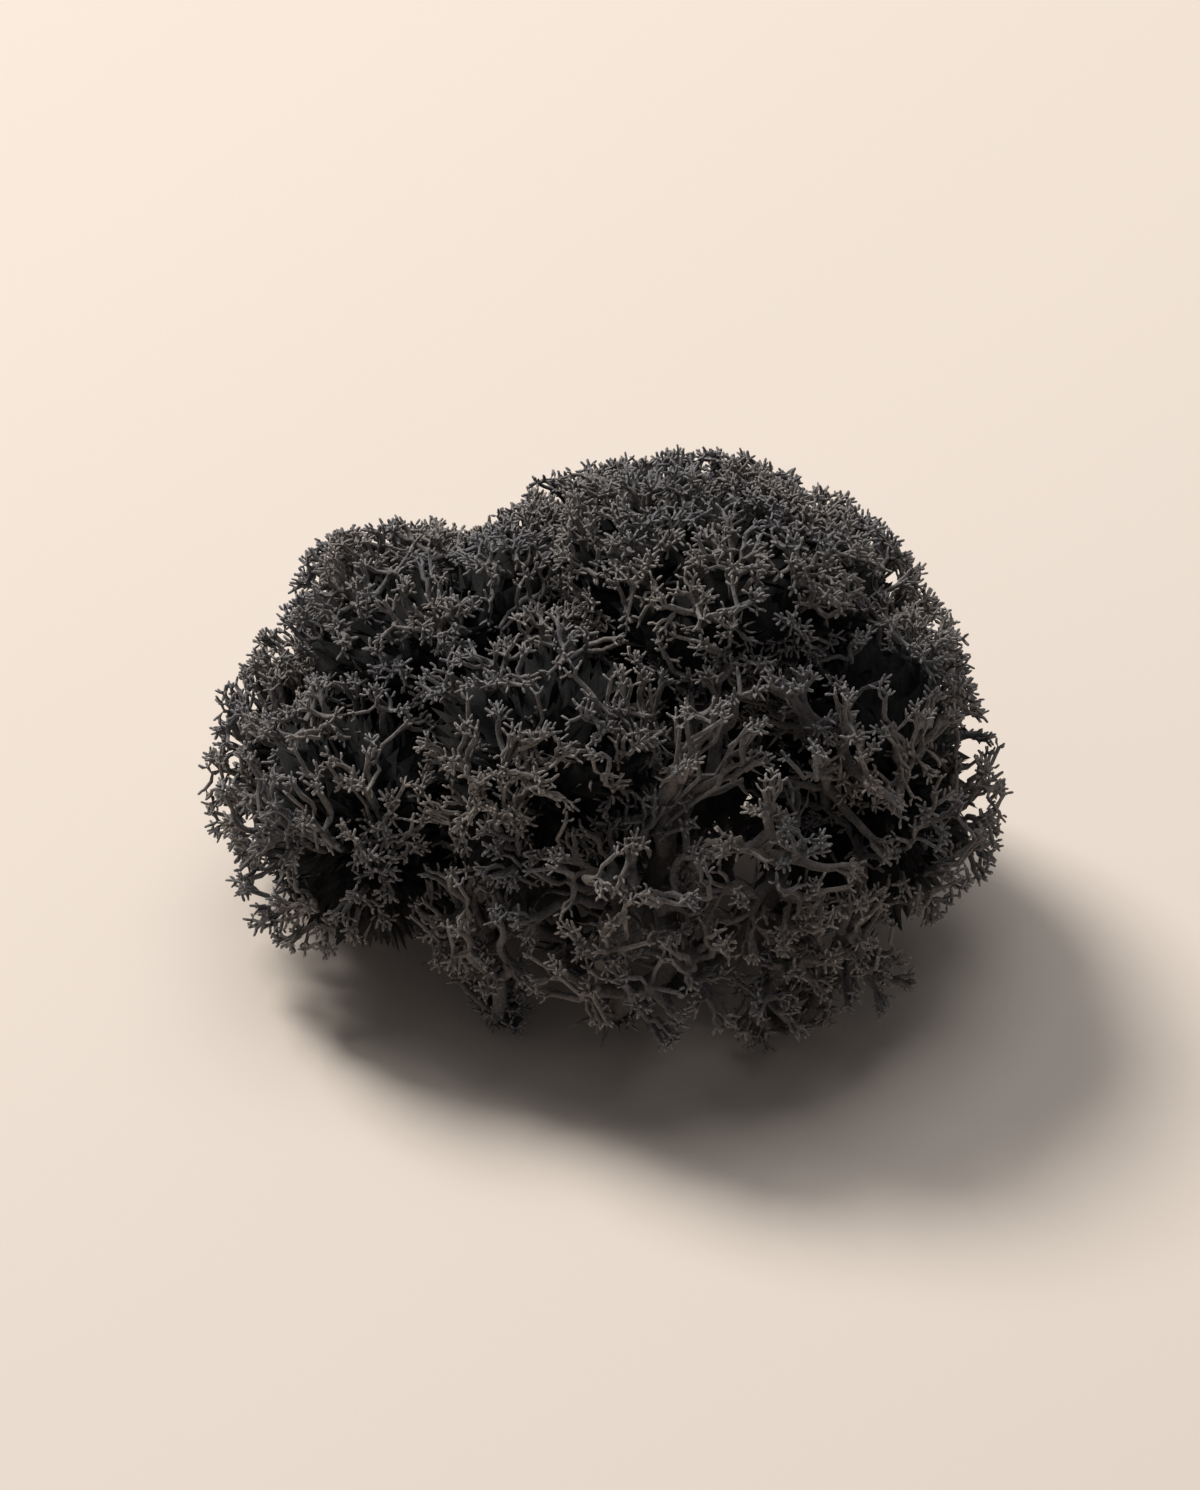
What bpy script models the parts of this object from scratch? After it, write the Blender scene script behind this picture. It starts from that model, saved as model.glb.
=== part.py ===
"""A clump of dyed reindeer moss: forked lichen stalks whose domed heads crowd into one cushion.

Metres, +Z up. The clump stands on the flat ends of its stalks, and its open, forked side faces -Y.
"""

import math
import random

import bmesh
import bpy
from mathutils import Vector

MM = 0.001

# The stalks fan out from this point under the ground, and each grows in a wedge of space of its own.
ROOT = Vector((0, 0, -34)) * MM
HALF_GAP = 0.2 * MM
GROUND_CLEAR = 1.2 * MM

# The rounded outline that the heads fill together, in millimetres: each dome's centre and half sizes.
DOMES = [
    ((10, 2, 25), (42, 41, 45)),
    ((-26, 2, 20), (26, 33, 37)),
]

# Each dense head's middle and size, in millimetres.
HEADS = {
    "podetium_main": ((13, 8, 44), 24),
    "podetium_left": ((-20, 6, 36), 21),
    "podetium_back": ((-4, 27, 34), 18),
    "podetium_back_right": ((24, 25, 31), 18),
    "podetium_right": ((36, -1, 29), 19),
    "podetium_front": ((-4, -16, 36), 18),
    "podetium_front_left": ((-28, -15, 25), 16),
    "podetium_far_left": ((-40, 5, 20), 13),
    "podetium_back_left": ((-27, 23, 24), 15),
}

# Each open head, which shows its forks: middle and size in millimetres, how many stars end it, and a seed.
OPEN_HEADS = {
    "open_podetium_right": ((24, -18, 32), 19, 40, 15),
    "open_podetium_front": ((8, -28, 23), 15, 26, 27),
    "open_podetium_low_right": ((34, -25, 16), 11, 12, 13),
    "open_podetium_low_left": ((-14, -29, 16), 11, 14, 24),
}

# Dense heads: a lumpy core, and the sprigs raised from its faces.
CORE_FACE_AREA = 18.5 * MM**2
LUMP_DEPTH = 0.12
SEAM_ROUND = 6.0 * MM
UNDERSIDE_PULL = 0.45
SPRIG_LENGTH = 5.2 * MM
SHORTEST_SPRIG = 1.6 * MM
SPRIG_STALK = 0.85 * MM
SPRIG_FORK_AT = 0.46
SPRIG_AXIL_AT = 0.55
TIP_SPREAD = 0.46
SPRIGS_DOWN_TO = -0.3

# Stems, limbs and twigs.
STEM_RADIUS = 1.9 * MM
STEM_SIDES = 6
STEM_SWAY = 1.4 * MM
FOOT_FLARE = 1.35
SHIN_LENGTH = 2.4 * MM
DENSE_FORK_AT = 0.34
OPEN_FORK_AT = 0.36
LIMB_RADIUS = 1.3 * MM
THINNER = 0.86
TWIG_RADIUS = 0.8 * MM

# Open heads: how far each fork lies in from what it carries, and the stars at the ends.
FORK_INSET = 3.2 * MM
OPEN_DOWN_TO = -0.1
OPEN_TRIES = 4000
STAR_LENGTH = 3.0 * MM
AXIL_RISE = 0.25 * MM

# A tip this near a neighbour's space grows on until it meets it.
TOUCHING = 1.5 * MM
MERGE = 0.004 * MM

# How far a point stands clear of the faces round it, and how much of its lean is tried.
SPIKE_STANDS = 0.4 * MM
SPIKE_LEANS = (1, 0.8, 0.6, 0.4, 0.2, 0)

GOLDEN_ANGLE = math.pi * (3 - math.sqrt(5))


def clear_scene():
    for obj in list(bpy.data.objects):
        bpy.data.objects.remove(obj)


def stalk_places():
    """Every stalk's head middle and size, in metres."""
    return {name: (Vector(row[0]) * MM, row[1] * MM) for name, row in {**HEADS, **OPEN_HEADS}.items()}


def wedge(name):
    """The flat walls round a stalk's space: (outward normal, a point on the wall).

    A wall between two stalks holds the root point, and shares the angle between them by their sizes.
    """
    places = stalk_places()
    middle, size = places[name]
    axis = middle - ROOT
    walls = [(Vector((0, 0, -1)), Vector((0, 0, GROUND_CLEAR)))]
    for other, (other_middle, other_size) in places.items():
        if other == name:
            continue
        towards = other_middle - ROOT
        angle, other_angle = size / axis.length, other_size / towards.length
        between = axis.normalized().slerp(towards.normalized(), angle / (angle + other_angle))
        walls.append((across(towards.normalized() - axis.normalized(), between), ROOT))
    return walls


def room(walls, start, direction):
    """How far the space goes on from a point inside it."""
    nearest = math.inf
    for normal, point in walls:
        closing = direction.dot(normal)
        if closing > 1e-6:
            nearest = min(nearest, (point - start).dot(normal) / closing)
    return nearest - HALF_GAP


def dome_reach(start, direction):
    """How far a line from a point inside the domes runs before it leaves them."""
    farthest = 0.0
    for centre, sizes in DOMES:
        p = Vector([(start[i] - centre[i] * MM) / (sizes[i] * MM) for i in range(3)])
        d = Vector([direction[i] / (sizes[i] * MM) for i in range(3)])
        a, b, c = d.dot(d), p.dot(d), p.dot(p) - 1
        if c < 0:
            farthest = max(farthest, (-b + math.sqrt(b * b - a * c)) / a)
    return farthest


def kept_inside(walls, point, margin):
    """The point, pushed back until it is that far inside the walls."""
    point = point.copy()
    for _ in range(6):
        for normal, wall_point in walls:
            over = (point - wall_point).dot(normal) + margin + HALF_GAP
            if over > 0:
                point -= normal * over
    return point


def head_axis(middle):
    """The way a head faces: outward from the root, and somewhat up."""
    return ((middle - ROOT).normalized() + Vector((0, 0, 0.35))).normalized()


def spread_directions(count, jitter, draw):
    """Evenly spread directions, slightly out of order."""
    for i in range(count):
        z = 1 - (2 * i + 1) / count
        angle = i * GOLDEN_ANGLE + draw.uniform(-jitter, jitter)
        flat = math.sqrt(1 - z * z)
        yield Vector((flat * math.cos(angle), flat * math.sin(angle), z))


def middle_of(points):
    return sum(points, Vector()) / len(points)


def across(vector, direction):
    """The unit part of a vector that is square to a direction."""
    return (vector - vector.project(direction)).normalized()


def bend(start, start_way, end, end_way, steps):
    """Points along a smooth curve from start to end."""
    reach = (end - start).length * 0.42
    one, two = start + start_way * reach, end - end_way * reach
    points = []
    for k in range(steps + 1):
        t = k / steps
        s = 1 - t
        points.append(start * s**3 + one * 3 * s * s * t + two * 3 * s * t * t + end * t**3)
    return points


def wrapped(angle):
    return (angle + math.pi) % (2 * math.pi) - math.pi


def ring(bm, centre, direction, radius, before, angles=None):
    """A ring of vertices to follow the outline before it. Returns that outline, turned to match, and it.

    The angles place the new vertices round the direction. Without them they are spaced evenly, with no twist.
    """
    side = across(Vector((0.3, 0.2, 1)), direction)
    up = direction.cross(side)
    count = len(before)
    old_middle = middle_of([v.co for v in before])
    old = [math.atan2((v.co - old_middle).dot(up), (v.co - old_middle).dot(side)) for v in before]
    if angles is None:
        step = 2 * math.pi / count
        turns = [Vector((math.cos(a - i * step), math.sin(a - i * step))) for i, a in enumerate(old)]
        turn = sum(turns, Vector((0, 0)))
        angles = [math.atan2(turn.y, turn.x) + i * step for i in range(count)]

    def twist(shift):
        return sum(wrapped(old[(i + shift) % count] - angles[i]) ** 2 for i in range(count))

    shift = min(range(count), key=twist)
    new = [bm.verts.new(centre + (side * math.cos(a) + up * math.sin(a)) * radius) for a in angles]
    return before[shift:] + before[:shift], new


def tube(bm, outline, path, radius, end_way, end_angles=None):
    """Grows a tube from an outline along a path, and returns its last ring."""
    for i, centre in enumerate(path):
        last = i == len(path) - 1
        back = path[i - 1] if i else middle_of([v.co for v in outline])
        direction = end_way if last else (path[i + 1] - back).normalized()
        before, new = ring(bm, centre, direction, radius, outline, end_angles if last else None)
        for k in range(len(new)):
            j = (k + 1) % len(new)
            bm.faces.new((before[k], before[j], new[j]))
            bm.faces.new((before[k], new[j], new[k]))
        outline = new
    return outline


def sector_bounds(sides, count):
    """Which vertices of a ring bound each of its sectors."""
    return [round(i * sides / count) for i in range(count + 1)]


def ring_angles(begins, sides):
    """The angles of a ring with a vertex at the beginning of each sector."""
    bounds = sector_bounds(sides, len(begins))
    ends = [*begins[1:], begins[0] + 2 * math.pi]
    angles = []
    for begin, end, first, last in zip(begins, ends, bounds, bounds[1:]):
        angles += [begin + (end - begin) * k / (last - first) for k in range(last - first)]
    return angles


def cut_in_sectors(bm, outline, direction, count, rise=0.0, thick=False):
    """Shares the end of a tube between its branches: each gets the middle and a run of the outline.

    Thick branches also get a vertex halfway along each cut, so that they stay as round as the tube.
    """
    middle = bm.verts.new(middle_of([v.co for v in outline]) + direction * rise)
    bounds = sector_bounds(len(outline), count)
    halfway = [bm.verts.new((middle.co + outline[b].co) / 2) for b in bounds[:-1]] if thick else []
    sectors = []
    for i, (first, last) in enumerate(zip(bounds, bounds[1:])):
        rim = [outline[k % len(outline)] for k in range(first, last + 1)]
        if thick:
            rim = [halfway[i], *rim, halfway[(i + 1) % count]]
        sectors.append([middle, *rim])
    return sectors


def leaving(sector, way):
    """The way a branch leaves its sector: well out to its own side, and a little ahead."""
    out = middle_of([v.co for v in sector[1:]]) - sector[0].co
    return (way * 0.5 + across(out, way)).normalized()


def spike(bm, base, tip, upright):
    """Closes a triangle to a point, drawn towards an upright one until it stands clear of what is round it.

    That is the triangle itself, and the face that meets its outer edge.
    """
    corner = base[0].co
    normal = (base[1].co - corner).cross(base[2].co - corner).normalized()
    flank = bm.edges.get(base[1:]).link_faces[0]
    flank.normal_update()

    def clear(place):
        return min((place - corner).dot(normal), (place - base[1].co).dot(flank.normal))

    places = [upright.lerp(tip, lean) for lean in SPIKE_LEANS]
    point = bm.verts.new(next((p for p in places if clear(p) > SPIKE_STANDS), max(places, key=clear)))
    for i, vertex in enumerate(base):
        bm.faces.new((vertex, base[(i + 1) % 3], point))


def star(bm, outline, way, walls, draw):
    """Ends a twig in a whorl of short points round an open axil."""
    for sector in cut_in_sectors(bm, outline, way, len(outline), AXIL_RISE):
        out = across(middle_of([v.co for v in sector[1:]]) - sector[0].co, way)
        tip_way = (way + out * draw.uniform(0.7, 1.1)).normalized()
        length = STAR_LENGTH * draw.uniform(0.8, 1.15)
        wall = room(walls, sector[0].co, tip_way)
        if abs(wall - length) < TOUCHING:
            length = wall
        tip, upright = [kept_inside(walls, sector[0].co + w * length, 0) for w in (tip_way, way)]
        spike(bm, sector, tip, upright)


def shared_out(points, at, way, count):
    """Parts points into two or three groups round a branch, and gives the angle at which each begins."""
    side = across(Vector((0.3, 0.2, 1)), way)
    up = way.cross(side)
    flat = [((p - at).dot(side), (p - at).dot(up)) for p in points]
    mean = [sum(f[i] for f in flat) / len(flat) for i in range(2)]
    flat = [(x - mean[0], y - mean[1]) for x, y in flat]
    if count == 2:
        return halved(points, flat)
    total = len(points)
    order = sorted(range(total), key=lambda i: math.atan2(flat[i][1], flat[i][0]))
    angles = [math.atan2(flat[i][1], flat[i][0]) for i in order]
    gaps = [(angles[i] - angles[i - 1]) % (2 * math.pi) for i in range(total)]
    first_cuts = sector_bounds(total, count)[:-1]
    shift = max(range(total // count + 1), key=lambda s: sum(gaps[(c + s) % total] for c in first_cuts))
    cuts = [c + shift for c in first_cuts]
    ends = [*cuts[1:], cuts[0] + total]
    groups = [[points[order[k % total]] for k in range(cut, end)] for cut, end in zip(cuts, ends)]
    begins = [angles[c % total] - gaps[c % total] / 2 for c in cuts]
    for i in range(1, count):
        begins[i] = begins[i - 1] + (begins[i] - begins[i - 1]) % (2 * math.pi)
    return groups, begins


def halved(points, flat):
    """Two groups of points, either side of the line through their middle across which they spread most."""
    xx = sum(x * x for x, y in flat)
    yy = sum(y * y for x, y in flat)
    xy = sum(x * y for x, y in flat)
    widest = 0.5 * math.atan2(2 * xy, xx - yy)
    along = [x * math.cos(widest) + y * math.sin(widest) for x, y in flat]
    order = sorted(range(len(points)), key=lambda i: along[i])
    half = len(points) // 2
    groups = [[points[i] for i in order[half:]], [points[i] for i in order[:half]]]
    return groups, [widest - math.pi / 2, widest + math.pi / 2]


def limb_radius(size):
    """Small heads have thinner limbs."""
    return LIMB_RADIUS * min(1.0, 0.58 + 0.021 * size / MM)


def stem(bm, name, fork_share, walls, points, draw):
    """The flat foot, and the stem up to where it parts in three: (outline, way out, points) for each limb."""
    middle, size = stalk_places()[name]
    axis = (middle - ROOT).normalized()
    foot = ROOT - axis * (ROOT.z / axis.z)
    radius = STEM_RADIUS * (0.7 + 0.014 * size / MM)
    phase = draw.uniform(0, 1)
    angles = [phase + k * math.tau / STEM_SIDES for k in range(STEM_SIDES)]
    rim = [Vector((math.cos(a), math.sin(a), 0)) * radius * FOOT_FLARE for a in angles]
    ground = [bm.verts.new(foot + offset) for offset in rim]
    bm.faces.new(reversed(ground))
    fork = foot.lerp(middle, fork_share)
    sway = Vector((draw.uniform(-1, 1), draw.uniform(-1, 1), 0)) * STEM_SWAY
    knee = kept_inside(walls, foot.lerp(fork, 0.55) + sway, radius)
    outline = tube(bm, ground, [foot + axis * SHIN_LENGTH, knee], radius, (fork - foot).normalized())
    way = (middle_of(points) - fork).normalized()
    groups, begins = shared_out(points, fork, way, 3)
    end = tube(bm, outline, [fork], radius, way, ring_angles(begins, STEM_SIDES))
    sectors = cut_in_sectors(bm, end, way, 3, thick=True)
    return [(sector, leaving(sector, way), group) for sector, group in zip(sectors, groups)]


def grow(bm, outline, start_way, points, radius, walls, draw):
    """Grows a branch to a group of points: it forks until each point has a star of its own."""
    start = middle_of([v.co for v in outline])
    centroid = middle_of(points)
    towards = (centroid - start).normalized()
    reach = (centroid - start).length
    if len(points) == 1:
        end = kept_inside(walls, centroid - towards * min(STAR_LENGTH * 0.6, reach * 0.4), radius)
        way = (towards + Vector((0, 0, 0.1))).normalized()
        path = curved(start, start_way, end, way, radius, walls)
        star(bm, tube(bm, outline, path, radius, way), way, walls, draw)
        return
    forward = max(reach - FORK_INSET * len(points) ** 0.5, reach * 0.45, radius * 2.6)
    fork = kept_inside(walls, start + towards * min(forward, reach * 0.8), radius)
    way = (centroid - fork).normalized()
    count = 3 if len(points) == 3 else 2
    groups, begins = shared_out(points, fork, way, count)
    path = curved(start, start_way, fork, way, radius, walls)
    end = tube(bm, outline, path, radius, way, ring_angles(begins, len(outline)))
    for sector, group in zip(cut_in_sectors(bm, end, way, count), groups):
        grow(bm, sector, leaving(sector, way), group, max(radius * THINNER, TWIG_RADIUS), walls, draw)


def curved(start, start_way, end, end_way, radius, walls):
    """The path of a branch, inside its walls. A short branch is a single step."""
    steps = 2 if (end - start).length > radius * 4.5 else 1
    return [kept_inside(walls, p, radius) for p in bend(start, start_way, end, end_way, steps)[1:]]


def head_surface(middle, size, walls, draw):
    """Random points on the outside of a head, clear of its walls."""
    axis = head_axis(middle)
    points = []
    for _ in range(OPEN_TRIES):
        way = Vector([draw.gauss(0, 1) for _ in range(3)]).normalized()
        reach = min(size * 1.3, dome_reach(middle, way) or size)
        if way.dot(axis) > OPEN_DOWN_TO and room(walls, middle, way) > reach + 0.2 * MM:
            points.append(middle + way * reach * draw.uniform(0.9, 1.0))
    return points


def well_apart(points, count):
    """Some of the points, each as far as can be from those before it."""
    chosen = [points[0]]
    nearest = [(p - chosen[0]).length for p in points]
    while len(chosen) < count:
        farthest = max(range(len(points)), key=lambda i: nearest[i])
        chosen.append(points[farthest])
        nearest = [min(n, (p - chosen[-1]).length) for n, p in zip(nearest, points)]
    return chosen


def open_podetium(name):
    """A stalk whose open head shows its forks."""
    middle, size = stalk_places()[name]
    stars, seed = OPEN_HEADS[name][2:]
    walls = wedge(name)
    draw = random.Random(seed)
    points = well_apart(head_surface(middle, size, walls, draw), stars)
    bm = bmesh.new()
    for sector, leave, group in stem(bm, name, OPEN_FORK_AT, walls, points, draw):
        grow(bm, sector, leave, group, limb_radius(size), walls, draw)
    return mesh_object(name, bm)


def dense_podetium(name):
    """A stalk whose limbs end inside a dense head."""
    middle, size = stalk_places()[name]
    walls = wedge(name)
    draw = random.Random(f"{name} stalk")
    axis = (middle - ROOT).normalized()
    side = across(Vector((1, 0.3, 0)), axis)
    up = axis.cross(side)
    points = []
    for k in range(6):
        angle = k * math.tau / 6 + draw.uniform(-0.25, 0.25)
        out = side * math.cos(angle) + up * math.sin(angle)
        points.append(kept_inside(walls, middle + out * (size - SPRIG_LENGTH) * 0.42, TWIG_RADIUS))
    bm = bmesh.new()
    for sector, leave, group in stem(bm, name, DENSE_FORK_AT, walls, points, draw):
        limb(bm, sector, leave, group, limb_radius(size), walls)
    return fused(name, head(name, middle, size, walls), bm)


def limb(bm, outline, start_way, points, radius, walls):
    """A limb that forks once and whose two twigs end in the head."""
    start = middle_of([v.co for v in outline])
    centroid = middle_of(points)
    fork = kept_inside(walls, start.lerp(centroid, 0.5), radius)
    way = (centroid - fork).normalized()
    groups, begins = shared_out(points, fork, way, 2)
    path = curved(start, start_way, fork, way, radius, walls)
    end = tube(bm, outline, path, radius, way, ring_angles(begins, len(outline)))
    for sector, (target,) in zip(cut_in_sectors(bm, end, way, 2), groups):
        twig_start = middle_of([v.co for v in sector])
        twig_way = (target - twig_start).normalized()
        path = bend(twig_start, leaving(sector, way), target, twig_way, 2)[1:]
        bm.faces.new(tube(bm, sector, path, TWIG_RADIUS, twig_way))


def head(name, middle, size, walls):
    """The domed head: a lumpy core whose faces are raised into forked sprigs."""
    draw = random.Random(f"head {name}")
    axis = head_axis(middle)
    waves = []
    for _ in range(4):
        way = Vector([draw.gauss(0, 1) for _ in range(3)]).normalized()
        waves.append((way * draw.uniform(3.5, 6), draw.uniform(0, 6.3)))
    bm = bmesh.new()
    count = round(4 * math.pi * (size - SPRIG_LENGTH) ** 2 / CORE_FACE_AREA / 2 + 2)
    for way in spread_directions(count, 0.12, draw):
        bm.verts.new(way)
    bmesh.ops.convex_hull(bm, input=bm.verts)
    bmesh.ops.recalc_face_normals(bm, faces=bm.faces)
    for vertex in bm.verts:
        way = vertex.co.normalized()
        vertex.co = middle + way * core_reach(way, middle, axis, size, walls, waves)
    for face in list(bm.faces):
        raise_sprig(bm, face, middle, axis, walls, draw)
    return bm


def core_reach(way, middle, axis, size, walls, waves):
    """How far a head's core reaches: the dome less the sprigs, drawn in underneath and at its neighbours."""
    lumps = sum(math.sin(way.dot(wave) + phase) for wave, phase in waves) / len(waves)
    facing = way.dot(axis)
    under = min(1.0, max(0.0, -facing - 0.05) * 1.6)
    outer = min(size * (1.2 + 0.35 * max(0.0, facing)), dome_reach(middle, way))
    outer = outer * (1 + LUMP_DEPTH * (lumps - 0.4)) * (1 - UNDERSIDE_PULL * under)
    near = room(walls, middle, way)
    blend = max(0.0, SEAM_ROUND - abs(outer - near)) / SEAM_ROUND
    return max(min(outer, near) - blend * blend * SEAM_ROUND / 4 - SPRIG_LENGTH, size * 0.2)


def raise_sprig(bm, face, middle, axis, walls, draw):
    """Raises a face into a stalk with three points, inside the cone from the head's middle over that face."""
    corners = list(face.verts)
    face_middle = face.calc_center_median()
    outward = (face_middle - middle).normalized()
    if outward.dot(axis) < SPRIGS_DOWN_TO:
        return
    spreads = [TIP_SPREAD * draw.uniform(0.8, 1.2) for _ in corners]
    tip_ways = [(face_middle.lerp(c.co, spread) - middle).normalized() for c, spread in zip(corners, spreads)]
    base = (face_middle - middle).length
    free = min(room(walls, middle, way) for way in [*tip_ways, outward]) - base
    length = min(SPRIG_LENGTH * draw.uniform(0.82, 1.12), free)
    if length < SHORTEST_SPRIG:
        return
    edges = [(corners[i].co + corners[(i + 1) % 3].co) / 2 for i in range(3)]
    rim_ways = []
    for edge in edges:
        wide = min(SPRIG_STALK, (edge - face_middle).length * 0.8)
        rim_ways.append((face_middle + (edge - face_middle).normalized() * wide - middle).normalized())
    neck = base + length * SPRIG_FORK_AT
    rim = [bm.verts.new(middle + way * neck) for way in rim_ways]
    axil = bm.verts.new(middle + outward * (base + length * SPRIG_AXIL_AT))
    bm.faces.remove(face)
    for i in range(3):
        j = (i + 1) % 3
        bm.faces.new((corners[i], corners[j], rim[i]))
        bm.faces.new((corners[j], rim[j], rim[i]))
    for i in range(3):
        wall = room(walls, middle, tip_ways[i])
        tip_at = base + length * draw.uniform(0.86, 1.0)
        if wall - tip_at < TOUCHING:
            tip_at = wall
        upright = middle + outward * min(tip_at, base + length)
        spike(bm, [axil, rim[i - 1], rim[i]], middle + tip_ways[i] * tip_at, upright)


def mesh_object(name, bm):
    mesh = bpy.data.meshes.new(name)
    bm.to_mesh(mesh)
    bm.free()
    obj = bpy.data.objects.new(name, mesh)
    bpy.context.scene.collection.objects.link(obj)
    return obj


def fused(name, first, second):
    """One solid from two closed solids that overlap. The exact solver loses the stalk on some heads."""
    obj = mesh_object(name, first)
    other = mesh_object(f"{name}_other", second)
    union = obj.modifiers.new("union", "BOOLEAN")
    union.operation = "UNION"
    union.solver = "MANIFOLD"
    union.object = other
    graph = bpy.context.evaluated_depsgraph_get()
    obj.data = bpy.data.meshes.new_from_object(obj.evaluated_get(graph))
    obj.modifiers.clear()
    bpy.data.objects.remove(other)
    bm = bmesh.new()
    bm.from_mesh(obj.data)
    bmesh.ops.remove_doubles(bm, verts=bm.verts, dist=MERGE)
    bm.to_mesh(obj.data)
    bm.free()
    return obj


def dyed_lichen():
    material = bpy.data.materials.new("dyed_lichen")
    material.use_nodes = True
    shader = material.node_tree.nodes["Principled BSDF"]
    shader.inputs["Base Color"].default_value = (0.045, 0.042, 0.042, 1)
    shader.inputs["Roughness"].default_value = 0.92
    shader.inputs["Metallic"].default_value = 0
    return material


def centre_on_origin(objects):
    """Slides the whole clump so that the middle of its box, seen from above, is the origin."""
    points = [v.co for obj in objects for v in obj.data.vertices]
    x, y = [(min(p[i] for p in points) + max(p[i] for p in points)) / 2 for i in range(2)]
    for obj in objects:
        for vertex in obj.data.vertices:
            vertex.co -= Vector((x, y, 0))


def main():
    clear_scene()
    material = dyed_lichen()
    objects = [dense_podetium(name) for name in HEADS] + [open_podetium(name) for name in OPEN_HEADS]
    for obj in objects:
        obj.data.materials.clear()
        obj.data.materials.append(material)
    centre_on_origin(objects)


main()
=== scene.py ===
"""A clump of dyed reindeer moss: thirteen lichen stalks that fork again and again and end in tiny stars."""

import math
import random

import bmesh
import bpy
import numpy as np
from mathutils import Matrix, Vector


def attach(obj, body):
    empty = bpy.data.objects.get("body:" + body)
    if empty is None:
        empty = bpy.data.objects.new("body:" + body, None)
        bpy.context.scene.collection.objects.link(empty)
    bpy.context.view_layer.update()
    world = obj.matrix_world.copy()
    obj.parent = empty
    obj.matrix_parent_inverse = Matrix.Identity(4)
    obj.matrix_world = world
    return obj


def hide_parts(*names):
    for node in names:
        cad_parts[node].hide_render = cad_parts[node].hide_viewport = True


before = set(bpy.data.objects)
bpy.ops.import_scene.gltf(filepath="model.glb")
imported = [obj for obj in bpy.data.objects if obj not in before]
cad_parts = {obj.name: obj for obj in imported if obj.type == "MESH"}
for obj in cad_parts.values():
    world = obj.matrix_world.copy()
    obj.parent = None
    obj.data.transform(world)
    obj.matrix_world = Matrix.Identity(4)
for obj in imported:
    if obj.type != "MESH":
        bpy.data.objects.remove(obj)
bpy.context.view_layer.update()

MM = 0.001

# The stalks fan out from this point under the ground. Places and sizes are in millimetres.
SLIDE = Vector((0.0633, 0.1125, 0))
ROOT = Vector((0, 0, -34)) + SLIDE
GROUND_CLEAR = 1.0

# The rounded outline that the heads fill together: each dome's centre and half sizes.
DOMES = [
    (Vector((10, 2, 25)) + SLIDE, (42, 41, 45)),
    (Vector((-26, 2, 20)) + SLIDE, (26, 33, 37)),
]

# Each head's middle and size, and how far apart the tufts of stars on it stand.
DENSE = {
    "podetium_main": ((13, 8, 44), 24, 3.2),
    "podetium_left": ((-20, 6, 36), 21, 4.2),
    "podetium_back": ((-4, 27, 34), 18, 3.2),
    "podetium_back_right": ((24, 25, 31), 18, 3.6),
    "podetium_right": ((36, -1, 29), 19, 4.9),
    "podetium_front": ((-4, -16, 36), 18, 4.6),
    "podetium_front_left": ((-28, -15, 25), 16, 4.6),
    "podetium_far_left": ((-40, 5, 20), 13, 4.2),
    "podetium_back_left": ((-27, 23, 24), 15, 3.4),
}
OPEN = {
    "open_podetium_right": ((24, -18, 32), 19, 6.0),
    "open_podetium_front": ((8, -28, 23), 15, 6.0),
    "open_podetium_low_right": ((34, -25, 16), 11, 5.4),
    "open_podetium_low_left": ((-14, -29, 16), 11, 5.4),
}

# Where the tufts of a head go, and the stars of a tuft.
SPACING_VARIES = 0.5
SEAM_SPREAD = 0.8
SEAM_DEPTH = 12.0
SEAM_ROUND = 4.0
SEAM_RAGGED = 1.3
LUMP_DEPTH = 0.13
PIT_DEPTH = 4.0
DOWN_TO = -0.42
TRIES = 12000
RAGGED = 1.8
INNER_SHARE = 0.35
INNER_DEPTH = 6.0
INNER_SPREAD = 0.2
TUFT_STARS = (4, 6)
TUFT_SPREAD = 0.8
TUFT_DROP = 0.14

# A dense head's heart is a rough ball in its middle, standing in for the tangle there; its near-black colour is
# painted shade.
HEART_DEPTH = 8.5
HEART_SEAM = 3.4
HEART_ROUGH = 0.07
HEART_UNDER = 0.05
# The hearts' girth value picks the near-black end of the colour ramp: painted shade, not a real branch size.
HEART_SHADE_GIRTH = 2.0
HEART_THORN = (1.5, 4.0)
THORN_LEAN = 1.5

# Branches. A branch's girth is its radius, and grows with the number of stars that it carries.
TIP_GIRTH = 0.21
TIP_LENGTH = (0.75, 1.35)
DENSE_GIRTH = (0.26, 0.27)
OPEN_GIRTH = (0.30, 0.36)
THICKEST = 1.5
INSET = 0.52
STAR_SHARE = 0.46
SWAY = 0.22
HANDLE = 0.52
FOOT_FLARE = 1.5
SHIN = 3.0
STEM_FORK = 0.24

# Side branches stand along every branch that carries at least so many stars, and closer along the stems.
SIDE_FROM = 12
STEM_BRANCHES = 3
SIDE_LENGTH = (3.0, 7.0)
SIDE_STARS = (2, 6)
SIDE_SPACING = 1.8

# Deep inside, side branches are bare and fork into plain points.
BARE_UNDER = 0.7
BARE_LENGTH = (5.0, 10.0)
BARE_POINTS = (3, 6)
BARE_SPACING = 3.2


def stalk_places():
    """Every stalk's head middle and size."""
    return {name: (Vector(row[0]) + SLIDE, row[1]) for name, row in {**DENSE, **OPEN}.items()}


def across(vector, direction):
    """The unit part of a vector that is square to a direction."""
    return (vector - vector.project(direction)).normalized()


def middle_of(points):
    return sum(points, Vector()) / len(points)


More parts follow.
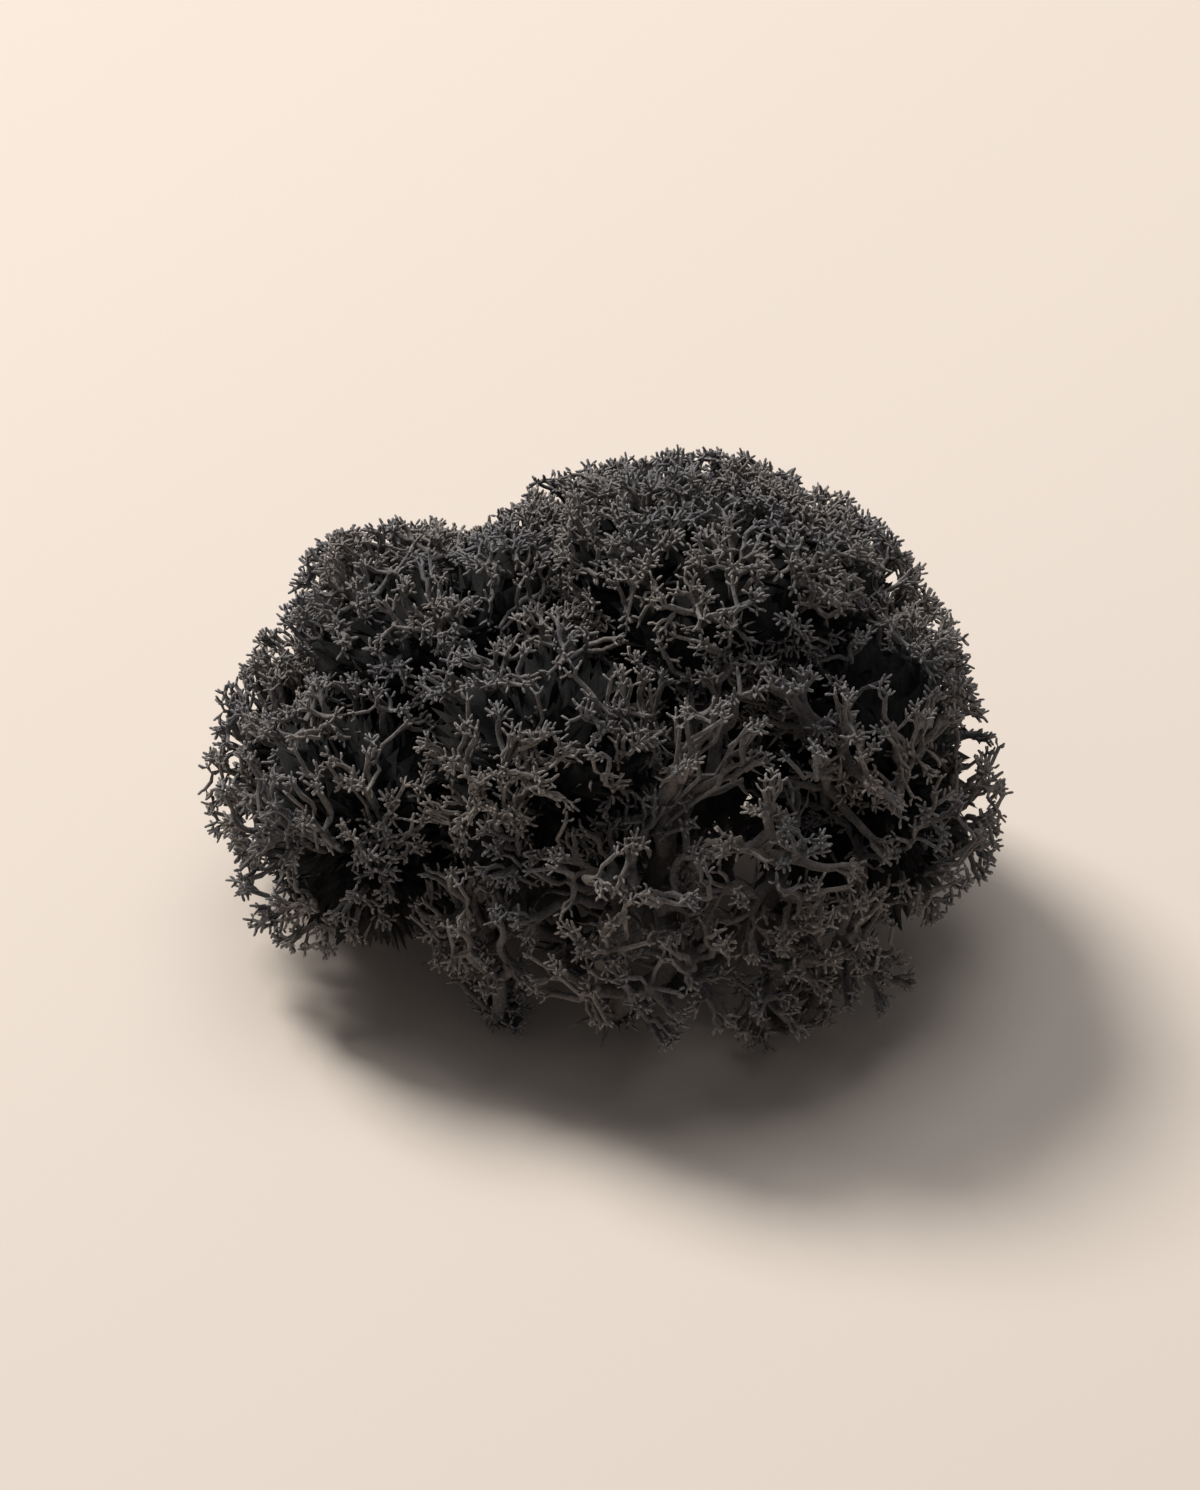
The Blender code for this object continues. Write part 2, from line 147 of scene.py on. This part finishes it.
def wedge(name):
    """The walls round a stalk's space, as arrays: outward normals, how far along them each wall is, and
    whether an open head stands behind it."""
    places = stalk_places()
    middle, size = places[name]
    axis = middle - ROOT
    normals = [Vector((0, 0, -1))]
    offsets = [-GROUND_CLEAR]
    airy = [False]
    for other, (other_middle, other_size) in places.items():
        if other == name:
            continue
        towards = other_middle - ROOT
        angle, other_angle = size / axis.length, other_size / towards.length
        between = axis.normalized().slerp(towards.normalized(), angle / (angle + other_angle))
        normal = across(towards.normalized() - axis.normalized(), between)
        normals.append(normal)
        offsets.append(normal.dot(ROOT))
        airy.append(other in OPEN)
    return np.array(normals), np.array(offsets), np.array(airy)


def room(walls, start, ways):
    """How far the space goes on from a point inside it, and whether it ends at an open head, per direction."""
    normals, offsets, airy = walls
    closing = ways @ normals.T
    left = offsets - normals @ np.array(start)
    reach = np.where(closing > 1e-6, left / np.maximum(closing, 1e-6), np.inf)
    return reach.min(axis=1), airy[reach.argmin(axis=1)]


def dome_reach(start, ways):
    """How far lines from a point inside the domes run before they leave them."""
    farthest = np.zeros(len(ways))
    for centre, sizes in DOMES:
        p = (np.array(start) - np.array(centre)) / sizes
        d = ways / sizes
        a, b, c = (d * d).sum(axis=1), d @ p, p @ p - 1
        if c < 0:
            farthest = np.maximum(farthest, (-b + np.sqrt(b * b - a * c)) / a)
    return farthest


def seeded(name):
    return np.random.default_rng([ord(c) for c in name])


def waves(ways, scale, rng):
    """A smooth random value from -1 to 1 for each direction."""
    total = np.zeros(len(ways))
    for _ in range(5):
        wave = rng.normal(size=3)
        wave *= scale * rng.uniform(0.7, 1.3) / np.linalg.norm(wave)
        total += np.sin(ways @ wave + rng.uniform(0, math.tau))
    return total / 5


def thinned(points, spacings):
    """Some of the points, no two nearer than their spacing."""
    cell = max(spacings)
    taken = {}
    kept = []
    for point, spacing in zip(points, spacings):
        key = tuple(int(c // cell) for c in point)
        near = [
            p
            for i in (-1, 0, 1)
            for j in (-1, 0, 1)
            for k in (-1, 0, 1)
            for p in taken.get((key[0] + i, key[1] + j, key[2] + k), ())
        ]
        if all(math.dist(p, point) > spacing for p in near):
            taken.setdefault(key, []).append(point)
            kept.append(point)
    return kept


def lumpy_dome(name, ways):
    """How far a head's own part of the outline reaches from its middle, with soft lumps and small pits."""
    middle, size = stalk_places()[name]
    rng = seeded(name)
    lumps = 1 + LUMP_DEPTH * (waves(ways, 5, rng) - 0.4)
    pits = np.clip(waves(ways, 13, rng) * 3 - 0.8, 0, 1)
    return np.minimum(dome_reach(middle, ways) * lumps, size * 1.35) - PIT_DEPTH * pits


def tuft_places(name, spacing, rng):
    """Where a head's tufts go: all over its dome, and more thinly down its sides and under the outermost."""
    middle, size = stalk_places()[name]
    walls = wedge(name)
    axis = np.array(((middle - ROOT).normalized() + Vector((0, 0, 0.35))).normalized())
    ways = rng.normal(size=(TRIES, 3))
    ways /= np.linalg.norm(ways, axis=1)[:, None]
    ways = ways[ways @ axis > DOWN_TO]
    outer = lumpy_dome(name, ways)
    near, airy = room(walls, middle, ways)
    near = near + SEAM_RAGGED * waves(ways, 9, rng)
    seam = np.maximum(0, SEAM_ROUND - np.abs(outer - near)) / SEAM_ROUND
    reach = np.minimum(outer, near) - seam**2 * SEAM_ROUND / 4
    deep = rng.uniform(RAGGED, INNER_DEPTH, len(ways))
    deep = np.where(rng.uniform(size=len(ways)) < INNER_SHARE, deep, rng.uniform(0, RAGGED, len(ways)))
    down_side = np.where(airy, 0, (outer - near) / SEAM_DEPTH)
    points = np.array(middle) + ways * (reach - deep)[:, None]
    spacings = spacing * (1 + SPACING_VARIES * waves(ways, 7, rng))
    spacings *= 1 + SEAM_SPREAD * np.clip(down_side, 0, 1)
    spacings *= 1 + INNER_SPREAD * np.maximum(0, deep - RAGGED)
    good = (down_side < 1) & (reach - deep > 2) & (points[:, 2] > GROUND_CLEAR + 1)
    order = np.argsort(deep[good])
    return [Vector(p) for p in thinned(points[good][order].tolist(), spacings[good][order].tolist())]


def star_places(name, spacing, rng):
    """Where a head's stars go: a small bunch of them in each tuft, the outer ones a little lower."""
    middle = stalk_places()[name][0]
    places = []
    for point in tuft_places(name, spacing, rng):
        way = (point - middle).normalized()
        side = across(Vector(rng.normal(size=3)), way)
        other = way.cross(side)
        for i in range(rng.integers(*TUFT_STARS, endpoint=True)):
            reach = TUFT_SPREAD * i**0.5
            angle = i * 2.4 + rng.uniform(-0.4, 0.4)
            out = (side * math.cos(angle) + other * math.sin(angle)) * reach
            places.append(point + out + way * (rng.uniform(-0.4, 0.4) - reach**2 * TUFT_DROP))
    return places


class Heart:
    """The tangle in the middle of a dense head, coloured near-black as painted shade: a rough ball, drawn in
    underneath and at its neighbours.
    """

    def __init__(self, name, walls):
        self.middle, size = stalk_places()[name]
        ball = bmesh.new()
        bmesh.ops.create_icosphere(ball, subdivisions=4, radius=1)
        self.ways = np.array([v.co[:] for v in ball.verts])
        self.faces = [tuple(v.index for v in f.verts) for f in ball.faces]
        ball.free()
        self.ways /= np.linalg.norm(self.ways, axis=1)[:, None]
        axis = np.array((self.middle - ROOT).normalized())
        under = np.clip(-(self.ways @ axis) * 1.6 - 0.08, 0, 1)
        outer = lumpy_dome(name, self.ways) - HEART_DEPTH
        near, _ = room(walls, self.middle, self.ways)
        rng = seeded(name[::-1])
        rough = 1 + HEART_ROUGH * (waves(self.ways, 16, rng) + rng.uniform(-1, 1, len(self.ways)))
        reach = np.minimum(outer * (1 - HEART_UNDER * under), near - HEART_SEAM)
        self.reach = np.maximum(reach, 2) * rough

    def holds(self, point):
        offset = np.array(point - self.middle)
        far = np.linalg.norm(offset)
        return far < self.reach[(self.ways @ offset).argmax()]


class Skin:
    """One stalk's skin as it grows: its vertices, how thick the branch is at each, and its faces."""

    def __init__(self, name):
        self.places = []
        self.girths = []
        self.faces = []
        self.walls = wedge(name)
        self.open = name in OPEN
        self.draw = random.Random(name)
        self.heart = None if self.open else Heart(name, self.walls)
        if self.heart:
            self.add_heart()

    def add_heart(self):
        """Adds the heart, with every face drawn out into a thorn, all coloured near-black as painted shade."""
        for way, reach in zip(self.heart.ways, self.heart.reach):
            self.add(self.heart.middle + Vector(way) * reach, HEART_SHADE_GIRTH)
        for face in self.heart.faces:
            middle = self.middle(face)
            way = (middle - self.heart.middle).normalized()
            lean = Vector([self.draw.uniform(-1, 1) for _ in range(3)]) * THORN_LEAN
            self.close(face, middle + way * self.draw.uniform(*HEART_THORN) + lean, HEART_SHADE_GIRTH)

    def add(self, place, girth):
        self.places.append(place)
        self.girths.append(girth)
        return len(self.places) - 1

    def middle(self, outline):
        return middle_of([self.places[i] for i in outline])

    def ring(self, centre, way, girth, before, angles=None):
        """Joins a ring of vertices to the outline before it. The angles place them round the way."""
        side = across(Vector((0.3, 0.2, 1)), way)
        up = way.cross(side)
        count = len(before)
        old_middle = self.middle(before)
        old = []
        for i in before:
            offset = self.places[i] - old_middle
            old.append(math.atan2(offset.dot(up), offset.dot(side)))
        step = math.tau / count
        if angles is None:
            x = sum(math.cos(a - i * step) for i, a in enumerate(old))
            y = sum(math.sin(a - i * step) for i, a in enumerate(old))
            turn = math.atan2(y, x)
            angles = [turn + i * step for i in range(count)]
        else:
            shift = max(
                range(count),
                key=lambda s: sum(math.cos(old[(i + s) % count] - a) for i, a in enumerate(angles)),
            )
            before = before[shift:] + before[:shift]
        new = []
        for a in angles:
            wide = girth * self.draw.uniform(0.9, 1.1)
            new.append(self.add(centre + (side * math.cos(a) + up * math.sin(a)) * wide, girth))
        for k in range(count):
            j = (k + 1) % count
            self.faces.append((before[k], before[j], new[j], new[k]))
        return new

    def tube(self, outline, path, girth, end_way, end_angles=None):
        """Grows a tube from an outline along a path, and returns its last ring."""
        back = self.middle(outline)
        for i, centre in enumerate(path):
            last = i == len(path) - 1
            way = end_way if last else (path[i + 1] - back).normalized()
            outline = self.ring(centre, way, girth, outline, end_angles if last else None)
            back = centre
        return outline

    def close(self, outline, point, girth):
        top = self.add(point, girth)
        for i, vertex in enumerate(outline):
            self.faces.append((vertex, outline[(i + 1) % len(outline)], top))


def bounds_of_sectors(sides, count):
    """Which vertices of a ring bound each of its sectors."""
    return [round(i * sides / count) for i in range(count + 1)]


def ring_angles(begins, sides):
    """The angles of a ring with a vertex at the beginning of each sector."""
    bounds = bounds_of_sectors(sides, len(begins))
    ends = [*begins[1:], begins[0] + math.tau]
    angles = []
    for begin, end, first, last in zip(begins, ends, bounds, bounds[1:]):
        angles += [begin + (end - begin) * k / (last - first) for k in range(last - first)]
    return angles


def sectors_of(skin, outline, way, count, girth, rise, thick):
    """Shares the end of a tube between its branches: each gets the middle and a run of the outline."""
    middle = skin.add(skin.middle(outline) + way * rise, girth)
    bounds = bounds_of_sectors(len(outline), count)
    halfway = []
    if thick:
        halfway = [skin.add((skin.places[middle] + skin.places[outline[b]]) / 2, girth) for b in bounds[:-1]]
    sectors = []
    for i, (first, last) in enumerate(zip(bounds, bounds[1:])):
        rim = [outline[k % len(outline)] for k in range(first, last + 1)]
        if thick:
            rim = [halfway[i], *rim, halfway[(i + 1) % count]]
        sectors.append([middle, *rim])
    return sectors


def shared_out(points, at, way, count):
    """Parts points into groups round a branch, and gives the angle at which each begins."""
    side = across(Vector((0.3, 0.2, 1)), way)
    up = way.cross(side)
    flat = [((p - at).dot(side), (p - at).dot(up)) for p in points]
    total = len(points)
    mean_x = sum(f[0] for f in flat) / total
    mean_y = sum(f[1] for f in flat) / total
    flat = [(x - mean_x, y - mean_y) for x, y in flat]
    if count == 2:
        xx = sum(x * x for x, y in flat)
        yy = sum(y * y for x, y in flat)
        xy = sum(x * y for x, y in flat)
        widest = 0.5 * math.atan2(2 * xy, xx - yy)
        along = [x * math.cos(widest) + y * math.sin(widest) for x, y in flat]
        order = sorted(range(total), key=along.__getitem__)
        half = total // 2
        groups = [[points[i] for i in order[half:]], [points[i] for i in order[:half]]]
        return groups, [widest - math.pi / 2, widest + math.pi / 2]
    around = [math.atan2(y, x) for x, y in flat]
    order = sorted(range(total), key=around.__getitem__)
    angles = [around[i] for i in order]
    gaps = [(angles[i] - angles[i - 1]) % math.tau for i in range(total)]
    first_cuts = bounds_of_sectors(total, count)[:-1]
    shift = max(range(total // count + 1), key=lambda s: sum(gaps[(c + s) % total] for c in first_cuts))
    cuts = [c + shift for c in first_cuts]
    ends = [*cuts[1:], cuts[0] + total]
    groups = [[points[order[k % total]] for k in range(cut, end)] for cut, end in zip(cuts, ends)]
    begins = [angles[c % total] - gaps[c % total] / 2 for c in cuts]
    for i in range(1, count):
        begins[i] = begins[i - 1] + (begins[i] - begins[i - 1]) % math.tau
    return groups, begins


def girth_of(skin, stars):
    twig, power = OPEN_GIRTH if skin.open else DENSE_GIRTH
    return min(twig * stars**power, THICKEST)


def leaving(skin, sector, way):
    """The way a branch leaves its sector: well out to its own side, and a little ahead."""
    out = skin.middle(sector[1:]) - skin.places[sector[0]]
    return (way * 0.45 + across(out, way)).normalized()


def bend(start, start_way, end, end_way, steps):
    """Points along a smooth curve from start to end, without the first."""
    reach = (end - start).length * HANDLE
    one, two = start + start_way * reach, end - end_way * reach
    points = []
    for k in range(1, steps + 1):
        t = k / steps
        s = 1 - t
        points.append(start * s**3 + one * 3 * s * s * t + two * 3 * s * t * t + end * t**3)
    return points


def star(skin, outline, way):
    """Ends a twig in a whorl of short blunt tips round an open axil. Each tip curls a little."""
    draw = skin.draw
    count = draw.choice((3, 3, 4)) if len(outline) > 4 else 3
    for sector in sectors_of(skin, outline, way, count, TIP_GIRTH, -0.12, False):
        base = skin.middle(sector)
        out = across(skin.middle(sector[1:]) - skin.places[sector[0]], way)
        lean = (way * draw.uniform(0.6, 1) + out * draw.uniform(0.8, 1.4)).normalized()
        curl = (lean + way * draw.uniform(-0.2, 1.4)).normalized()
        length = draw.uniform(*TIP_LENGTH)
        girth = TIP_GIRTH * draw.uniform(0.85, 1.1)
        elbow = base + lean * length * 0.5
        neck = elbow + curl * length * 0.45
        ring = skin.ring(elbow, lean, girth, sector)
        ring = skin.ring(neck, curl, girth * 0.85, ring)
        # The point's small girth value gives it the ramp's palest tone, partly own tone and partly painted
        # highlight.
        skin.close(ring, neck + curl * girth * 0.8, girth * 0.3)


def outwardness(skin, point):
    """How near a point is to the outside of the domes, from 0 to 1, or 2 outside the stalk's own space."""
    normals, offsets, _ = skin.walls
    if (normals @ np.array(point) > offsets - 1).any():
        return 2
    spans = [sum(((p - c) / size) ** 2 for p, c, size in zip(point, centre, sizes)) for centre, sizes in DOMES]
    return min(spans) ** 0.5


def side_branch(skin, at, way, girth):
    """A small branch out of the side of a thicker one: with stars near the outside, and bare deep inside."""
    draw = skin.draw
    if skin.heart and skin.heart.holds(at):
        return
    bare = outwardness(skin, at) < BARE_UNDER
    spacing = BARE_SPACING if bare else SIDE_SPACING
    side = across(Vector([draw.gauss(0, 1) for _ in range(3)]), way)
    out = (side + way * draw.uniform(0.1, 0.9)).normalized()
    length = draw.uniform(*(BARE_LENGTH if bare else SIDE_LENGTH))
    end = at + out * length + Vector((0, 0, length * 0.25))
    if outwardness(skin, end) > 0.97:
        return
    up = out.cross(side).normalized()
    other = out.cross(up)
    points = []
    for i in range(draw.randint(*(BARE_POINTS if bare else SIDE_STARS))):
        reach = spacing * 0.7 * i**0.5
        angle = i * 2.4 + draw.uniform(-0.4, 0.4)
        offset = up * math.cos(angle) + other * math.sin(angle)
        points.append(end + offset * reach + out * draw.uniform(-1, 0.6))
    sides = 4 if bare else 6
    twig = girth_of(skin, len(points))
    start = at + side * max(0, girth - twig * 1.2)
    ring = []
    for k in range(sides):
        angle = k * math.tau / sides
        ring.append(skin.add(start + (up * math.cos(angle) - other * math.sin(angle)) * twig, twig))
    skin.faces.append(tuple(ring))
    ring.reverse()
    grow(skin, ring, out, points, spacing, bare)


def grow(skin, outline, start_way, points, spacing, bare=False):
    """Grows a branch to a group of points: it forks until each point has a star, or a bare tip, of its own."""
    draw = skin.draw
    start = skin.middle(outline)
    centroid = middle_of(points)
    towards = (centroid - start).normalized()
    reach = (centroid - start).length
    total = len(points)
    girth = girth_of(skin, total)
    if total == 1 and bare:
        path = bend(start, start_way, centroid, towards, 2)
        skin.close(skin.tube(outline, path[:1], girth * 0.8, towards), path[1], TIP_GIRTH)
        return
    if total == 1:
        end = centroid - towards * min(TIP_LENGTH[0], reach * 0.4)
        path = bend(start, start_way, end, towards, max(1, min(3, round(reach / 1.3))))
        star(skin, skin.tube(outline, path, girth, towards), towards)
        return
    forward = max(reach - INSET * spacing * total**0.5, reach * 0.3, girth * 2)
    sway = Vector((draw.uniform(-1, 1), draw.uniform(-1, 1), draw.uniform(-1, 1))) * forward * SWAY
    fork = start + towards * min(forward, reach * 0.85) + sway
    way = (centroid - fork).normalized()
    if total < 4:
        count = total
    else:
        count = draw.choice((2, 2, 3))
    groups, begins = shared_out(points, fork, way, count)
    steps = max(1, min(5, round((fork - start).length / (girth * 2.4))))
    path = bend(start, start_way, fork, way, steps)
    end = skin.tube(outline, path, girth, way, ring_angles(begins, len(outline)))
    if total >= SIDE_FROM and not bare:
        for at in path[:-1]:
            side_branch(skin, at, towards, girth)
    thick = not bare and (total > count or count > 2)
    for sector, group in zip(sectors_of(skin, end, way, count, girth, 0, thick), groups):
        grow(skin, sector, leaving(skin, sector, way), group, spacing, bare)


def stalk(name, tuft_spacing):
    """A whole stalk: its cut foot, its stem, and the head that it forks into."""
    middle = stalk_places()[name][0]
    points = star_places(name, tuft_spacing, seeded(name))
    spacing = tuft_spacing * STAR_SHARE
    skin = Skin(name)
    draw = skin.draw
    axis = (middle - ROOT).normalized()
    foot = ROOT - axis * (ROOT.z / axis.z)
    girth = girth_of(skin, len(points))
    sides = 9
    ground = []
    for k in range(sides):
        angle = k * math.tau / sides
        rim = Vector((math.cos(angle), math.sin(angle), 0)) * girth * FOOT_FLARE * draw.uniform(0.85, 1.15)
        ground.append(skin.add(foot + rim, girth))
    skin.faces.append(tuple(reversed(ground)))
    fork = foot.lerp(middle, STEM_FORK)
    way = (middle_of(points) - fork).normalized()
    groups, begins = shared_out(points, fork, way, 3)
    path = [foot + axis * SHIN * 0.4, foot + axis * SHIN]
    path += bend(foot + axis * SHIN, axis, fork, way, 4)
    end = skin.tube(ground, path, girth, way, ring_angles(begins, sides))
    for at in path[2:-1]:
        for _ in range(STEM_BRANCHES):
            side_branch(skin, at + axis * draw.uniform(-1, 1), axis, girth)
    for sector, group in zip(sectors_of(skin, end, way, 3, girth, 0, True), groups):
        grow(skin, sector, leaving(skin, sector, way), group, spacing)
    return skin


def mesh_object(name, skin, material):
    places = np.array(skin.places) * MM
    places[:, 2] = np.maximum(places[:, 2], 0)
    mesh = bpy.data.meshes.new(name)
    mesh.from_pydata(places.tolist(), [], skin.faces)
    mesh.attributes.new("girth", "FLOAT", "POINT").data.foreach_set("value", skin.girths)
    mesh.polygons.foreach_set("use_smooth", [True] * len(mesh.polygons))
    mesh.materials.append(material)
    obj = bpy.data.objects.new(name, mesh)
    bpy.context.scene.collection.objects.link(obj)
    return obj


def node(tree, kind, **values):
    """A shader node with some of its settings or inputs set."""
    made = tree.nodes.new(kind)
    for key, value in values.items():
        if key in made.inputs:
            made.inputs[key].default_value = value
        else:
            setattr(made, key, value)
    return made


def ramp(tree, source, stops):
    """A colour ramp over a value: stops are (position, colour)."""
    made = node(tree, "ShaderNodeValToRGB")
    band = made.color_ramp.elements
    band[0].position, band[0].color = stops[0][0], (*stops[0][1], 1)
    band[1].position, band[1].color = stops[-1][0], (*stops[-1][1], 1)
    for position, colour in stops[1:-1]:
        band.new(position).color = (*colour, 1)
    tree.links.new(source, made.inputs["Fac"])
    return made.outputs["Color"]


def mixed(tree, blend, factor, first, second):
    """Two colours mixed, each a socket or a plain colour."""
    made = node(tree, "ShaderNodeMix", data_type="RGBA", blend_type=blend)
    for index, value in ((0, factor), (6, first), (7, second)):
        if isinstance(value, bpy.types.NodeSocket):
            tree.links.new(value, made.inputs[index])
        else:
            made.inputs[index].default_value = value
    return made.outputs[2]


def lichen_material():
    """Matt charcoal-dyed lichen, faintly brown and blotched at random. It is paler at the thin tips, partly its
    own tone and partly painted highlight; the thickest stems darken towards the hearts' near-black, which is
    painted shade.
    """
    material = bpy.data.materials.new("dyed_lichen_fine")
    material.use_nodes = True
    tree = material.node_tree
    shader = tree.nodes["Principled BSDF"]
    where = node(tree, "ShaderNodeTexCoord").outputs["Object"]
    girth = node(tree, "ShaderNodeAttribute", attribute_name="girth").outputs["Fac"]
    half = node(tree, "ShaderNodeMath", operation="MULTIPLY")
    half.inputs[1].default_value = 0.5
    tree.links.new(girth, half.inputs[0])
    # Tones by girth: the palest stops at the thin tips are partly own tone and partly painted highlight; the
    # last, near-black stop colours the hearts as painted shade.
    stops = [
        (0.04, (0.36, 0.342, 0.327)),
        (0.11, (0.21, 0.199, 0.192)),
        (0.20, (0.145, 0.137, 0.132)),
        (0.60, (0.12, 0.112, 0.108)),
        (0.95, (0.008, 0.0074, 0.0072)),
    ]
    base = ramp(tree, half.outputs[0], stops)
    blotches = node(tree, "ShaderNodeTexNoise", Scale=90.0, Detail=3.0)
    tree.links.new(where, blotches.inputs["Vector"])
    tint = ramp(tree, blotches.outputs["Fac"], [(0.35, (0.78, 0.80, 0.86)), (0.65, (1.12, 1.06, 1.0))])
    colour = mixed(tree, "MULTIPLY", 1.0, base, tint)
    grain = node(tree, "ShaderNodeTexNoise", Scale=2600.0, Detail=2.0)
    tree.links.new(where, grain.inputs["Vector"])
    speckle = ramp(tree, grain.outputs["Fac"], [(0.35, (0.72, 0.72, 0.72)), (0.65, (1.25, 1.25, 1.25))])
    colour = mixed(tree, "MULTIPLY", 1.0, colour, speckle)
    tree.links.new(colour, shader.inputs["Base Color"])
    bump = node(tree, "ShaderNodeBump", Strength=0.5, Distance=0.00008)
    tree.links.new(grain.outputs["Fac"], bump.inputs["Height"])
    tree.links.new(bump.outputs["Normal"], shader.inputs["Normal"])
    shader.inputs["Roughness"].default_value = 0.9
    shader.inputs["Specular IOR Level"].default_value = 0.15
    shader.inputs["Sheen Weight"].default_value = 0.06
    shader.inputs["Sheen Roughness"].default_value = 0.6
    return material


def plain_material(name, colour, roughness):
    material = bpy.data.materials.new(name)
    material.use_nodes = True
    shader = material.node_tree.nodes["Principled BSDF"]
    shader.inputs["Base Color"].default_value = (*colour, 1)
    shader.inputs["Roughness"].default_value = roughness
    return material


def backdrop():
    """A plain pale floor."""
    half = 3.5
    corners = [(-half, -half, 0), (half, -half, 0), (half, half, 0), (-half, half, 0)]
    mesh = bpy.data.meshes.new("floor")
    mesh.from_pydata(corners, [], [(0, 1, 2, 3)])
    mesh.materials.append(plain_material("pale_floor", (0.80, 0.70, 0.61), 0.8))
    floor = bpy.data.objects.new("floor", mesh)
    bpy.context.scene.collection.objects.link(floor)


def area_light(name, place, target, size, power, colour):
    data = bpy.data.lights.new(name, "AREA")
    data.shape = "DISK"
    data.size = size
    data.energy = power
    data.color = colour
    light = bpy.data.objects.new(name, data)
    light.location = place
    light.rotation_euler = (Vector(target) - Vector(place)).to_track_quat("-Z", "Y").to_euler()
    bpy.context.scene.collection.objects.link(light)


def lights():
    middle = (0, 0, 0.03)
    area_light("window", (-1.0, 0.75, 1.5), middle, 0.7, 36, (1.0, 0.98, 0.95))
    area_light("sky", (0.1, 0.5, 1.9), middle, 1.4, 10, (0.97, 0.98, 1.0))
    world = bpy.data.worlds.new("room")
    world.use_nodes = True
    background = world.node_tree.nodes["Background"]
    background.inputs["Color"].default_value = (0.98, 0.97, 1.0, 1)
    background.inputs["Strength"].default_value = 0.12
    bpy.context.scene.world = world
    bpy.context.scene.view_settings.view_transform = "Standard"


def camera():
    """The view of the photograph: from the front, a little to the right, and well above."""
    azimuth, elevation, roll = math.radians(11.3), math.radians(38.5), math.radians(-1.4)
    distance = 2.6
    aim = Vector((0.0, 0.0, 0.031))
    level = math.cos(elevation)
    back = Vector((math.sin(azimuth) * level, -math.cos(azimuth) * level, math.sin(elevation)))
    data = bpy.data.cameras.new("camera")
    data.sensor_fit = "HORIZONTAL"
    data.sensor_width = 36
    data.lens = 600
    data.clip_end = 20
    view = bpy.data.objects.new("camera", data)
    view.location = aim + back * distance
    view.rotation_euler = (-back).to_track_quat("-Z", "Y").to_euler()
    view.rotation_euler.rotate_axis("Z", roll)
    bpy.context.scene.collection.objects.link(view)
    bpy.context.scene.camera = view


def main():
    material = lichen_material()
    for name, (_, _, tuft_spacing) in {**DENSE, **OPEN}.items():
        piece = mesh_object(f"lichen_{name}", stalk(name, tuft_spacing), material)
        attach(piece, "root")
        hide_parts(name)
    backdrop()
    lights()
    camera()


main()
